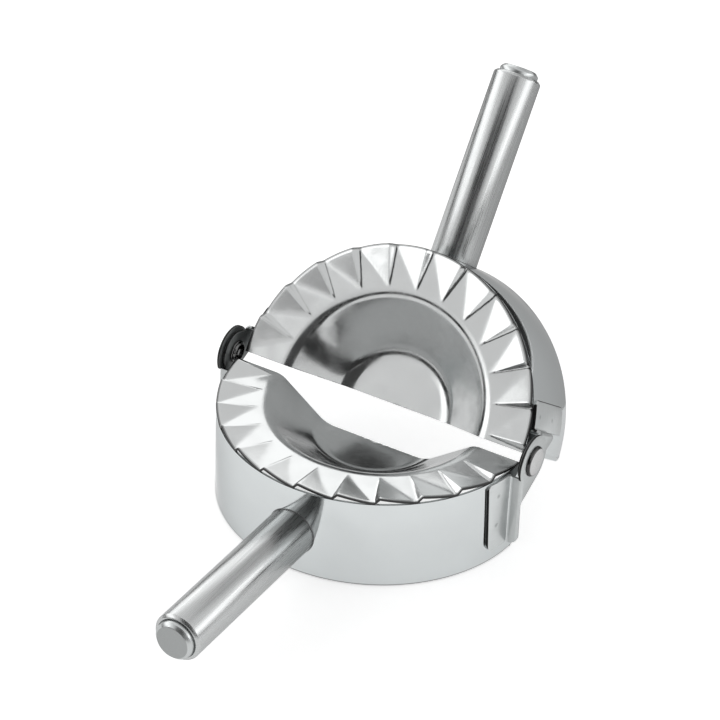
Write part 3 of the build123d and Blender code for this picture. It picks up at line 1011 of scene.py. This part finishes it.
class PRESS_OT_studio(bpy.types.Operator):
    """Lay the floor and set the lamps and the camera"""

    bl_idname = "press.studio"
    bl_label = "Studio"

    # Place, width, height and power of the soft boxes.
    lamps = {
        "left_softbox": ((-0.90, -0.12, 0.47), 1.9, 0.46, 3.6),
        "right_softbox": ((0.95, 0.22, 0.31), 1.8, 0.44, 3.9),
        "back_softbox": ((-0.60, 0.80, 0.58), 0.7, 0.6, 1.15),
    }
    # Place, lean, width, height and glow of the cards that only the steel sees.
    cards = {
        "camera_card": ((0.21, -0.76, 0.60), 0.0, 0.90, 0.85, 0.08),
        "ceiling_card": ((0.14, 0.66, 0.72), 0.0, 0.62, 0.55, 0.62),
        "mat_card": ((0.17, 0.46, 0.0008), pi / 2, 1.95, 0.76, 0.62),
    }
    floor_size = 4
    floor_sink = 0.2 * MM
    screen_radius = 1.15
    screen_foot = 0.2 * MM
    screen_top = 0.2702
    screen_glow = 0.04

    def execute(self, context):
        setting = context.scene.press_studio
        context.scene.view_settings.view_transform = "Standard"
        self.lay_floor(setting)
        self.light_sky(context, setting)
        for name, lamp in self.lamps.items():
            self.hang_lamp(name, *lamp)
        for name, card in self.cards.items():
            self.hang_card(name, *card)
        self.stand_screen()
        self.set_camera(context, setting)
        return {"FINISHED"}

    def backdrop_rays(self, finish):
        """1 where the ray shows the background: seen directly, in metal or through glass."""
        kinds = ("Camera", "Glossy", "Transmission")
        seen, shiny, through = (finish.node("ShaderNodeLightPath", {}, {}, f"Is {kind} Ray") for kind in kinds)
        return (seen + shiny + through) > 0.5

    def lay_floor(self, setting):
        """A pale floor, brighter where rays show it as background."""
        floor = begin(bpy.ops.mesh.primitive_plane_add, size=self.floor_size, location=(0, 0, -self.floor_sink))
        bpy.ops.mesh.subdivide(number_cuts=4)
        leave_mesh()
        floor.name = "studio_floor"
        material = bpy.data.materials.new("pale_floor")
        finish = Finish(material)
        grain = finish.noise(finish.node("ShaderNodeTexCoord", {}, {}, "Object"), 30.0, 2.0)
        tint = finish.mottled(grain, setting.floor_colour, 0.995, 1.0)
        matt = finish.node("ShaderNodeBsdfDiffuse", {}, {"Color": tint})
        glow = finish.node("ShaderNodeEmission", {}, {"Strength": self.backdrop_rays(finish) * setting.lift})
        both = finish.node("ShaderNodeAddShader", {}, {0: matt, 1: glow})
        finish.node("ShaderNodeOutputMaterial", {}, {"Surface": both})
        floor.data.materials.append(material)

    def light_sky(self, context, setting):
        """Plain light from all round, white where rays show it as background."""
        world = bpy.data.worlds.new("studio_sky")
        context.scene.world = world
        finish = Finish(world)
        strength = finish.span(self.backdrop_rays(finish), 0.0, 1.0, setting.sky, 1.0)
        sky = finish.node("ShaderNodeBackground", {}, {"Color": (1, 1, 1, 1), "Strength": strength})
        finish.node("ShaderNodeOutputWorld", {}, {"Surface": sky})

    def hang_card(self, name, spot, lean, width, height, glow):
        """A grey card, facing the press or leaning back from it."""
        card = begin(bpy.ops.mesh.primitive_plane_add, size=1)
        leave_mesh()
        level = Vector((spot[0], spot[1], 0 if lean else spot[2]))
        turn = (-level).to_track_quat("-Z", "Y").to_matrix().to_4x4() @ Matrix.Rotation(lean, 4, "X")
        card.data.transform(Matrix.Translation(spot) @ turn @ Matrix.Diagonal((width, height, 1, 1)))
        self.show_to_steel(card, name, glow)

    def stand_screen(self):
        """A low dark screen all round, which darkens the horizon."""
        screen = begin_rod("Z", self.screen_foot, self.screen_top, self.screen_radius, TUBE_SIDES, ends="NOTHING")
        leave_mesh()
        self.show_to_steel(screen, "horizon_screen", self.screen_glow)

    def show_to_steel(self, card, name, strength):
        """Make a card glow a little and show it in reflections only."""
        card.name = name
        for rays in ("camera", "diffuse", "shadow", "transmission", "volume_scatter"):
            setattr(card, f"visible_{rays}", False)
        material = bpy.data.materials.new(name)
        finish = Finish(material)
        glow = finish.node("ShaderNodeEmission", {}, {"Strength": strength})
        finish.node("ShaderNodeOutputMaterial", {}, {"Surface": glow})
        card.data.materials.append(material)

    def hang_lamp(self, name, spot, width, height, power):
        """A soft box of the given size that faces the press."""
        bpy.ops.object.light_add(type="AREA", location=spot)
        lamp = bpy.context.object
        lamp.name = name
        lamp.rotation_euler = (-Vector(spot)).to_track_quat("-Z", "Y").to_euler()
        lamp.data.shape = "RECTANGLE"
        lamp.data.size = width
        lamp.data.size_y = height
        lamp.data.energy = power

    def set_camera(self, context, setting):
        """The camera at the photograph's viewing angle."""
        camera = bpy.data.objects.new("front_camera", bpy.data.cameras.new("front_camera"))
        context.scene.collection.objects.link(camera)
        camera.data.lens = setting.lens
        camera.data.sensor_width = 36
        camera.data.clip_start = 0.01
        camera.matrix_world = Matrix.LocRotScale(setting.stand, setting.turn, None)
        context.scene.camera = camera


class PRESS_PT_sidebar(bpy.types.Panel):
    """Lists the pieces of the press"""

    bl_label = "Ravioli press"
    bl_idname = "PRESS_PT_sidebar"
    bl_space_type = "VIEW_3D"
    bl_region_type = "UI"
    bl_category = "Press"

    def draw(self, context):
        for key, group in GROUPS.items():
            box = self.layout.box()
            box.label(text=group.__doc__)
            for name in group.__annotations__:
                box.prop(getattr(context.scene, key), name)
        for operator in OPERATORS:
            self.layout.operator(operator.bl_idname)


GROUPS = {
    "press_sizes": PressSizes,
    "press_bands": BandSizes,
    "press_dishes": DishSizes,
    "press_handles": HandleSizes,
    "press_bracket_sheet": BracketSheet,
    "press_brackets": BracketSizes,
    "press_rivets": RivetSizes,
    "press_finish": SteelFinish,
    "press_studio": StudioSetting,
}
OPERATORS = (
    PRESS_OT_bands,
    PRESS_OT_dishes,
    PRESS_OT_handles,
    PRESS_OT_caps,
    PRESS_OT_brackets,
    PRESS_OT_rivets,
    PRESS_OT_studio,
)


def register():
    for cls in (*GROUPS.values(), *OPERATORS, PRESS_PT_sidebar):
        bpy.utils.register_class(cls)
    for name, group in GROUPS.items():
        setattr(bpy.types.Scene, name, PointerProperty(type=group))


def unregister():
    for name in GROUPS:
        delattr(bpy.types.Scene, name)
    for cls in (PRESS_PT_sidebar, *reversed(OPERATORS), *reversed(GROUPS.values())):
        bpy.utils.unregister_class(cls)


def main():
    register()
    bpy.ops.press.bands()
    bpy.ops.press.dishes()
    bpy.ops.press.handles()
    bpy.ops.press.caps()
    bpy.ops.press.brackets()
    bpy.ops.press.rivets()
    bpy.ops.press.studio()


if __name__ == "__main__":
    main()
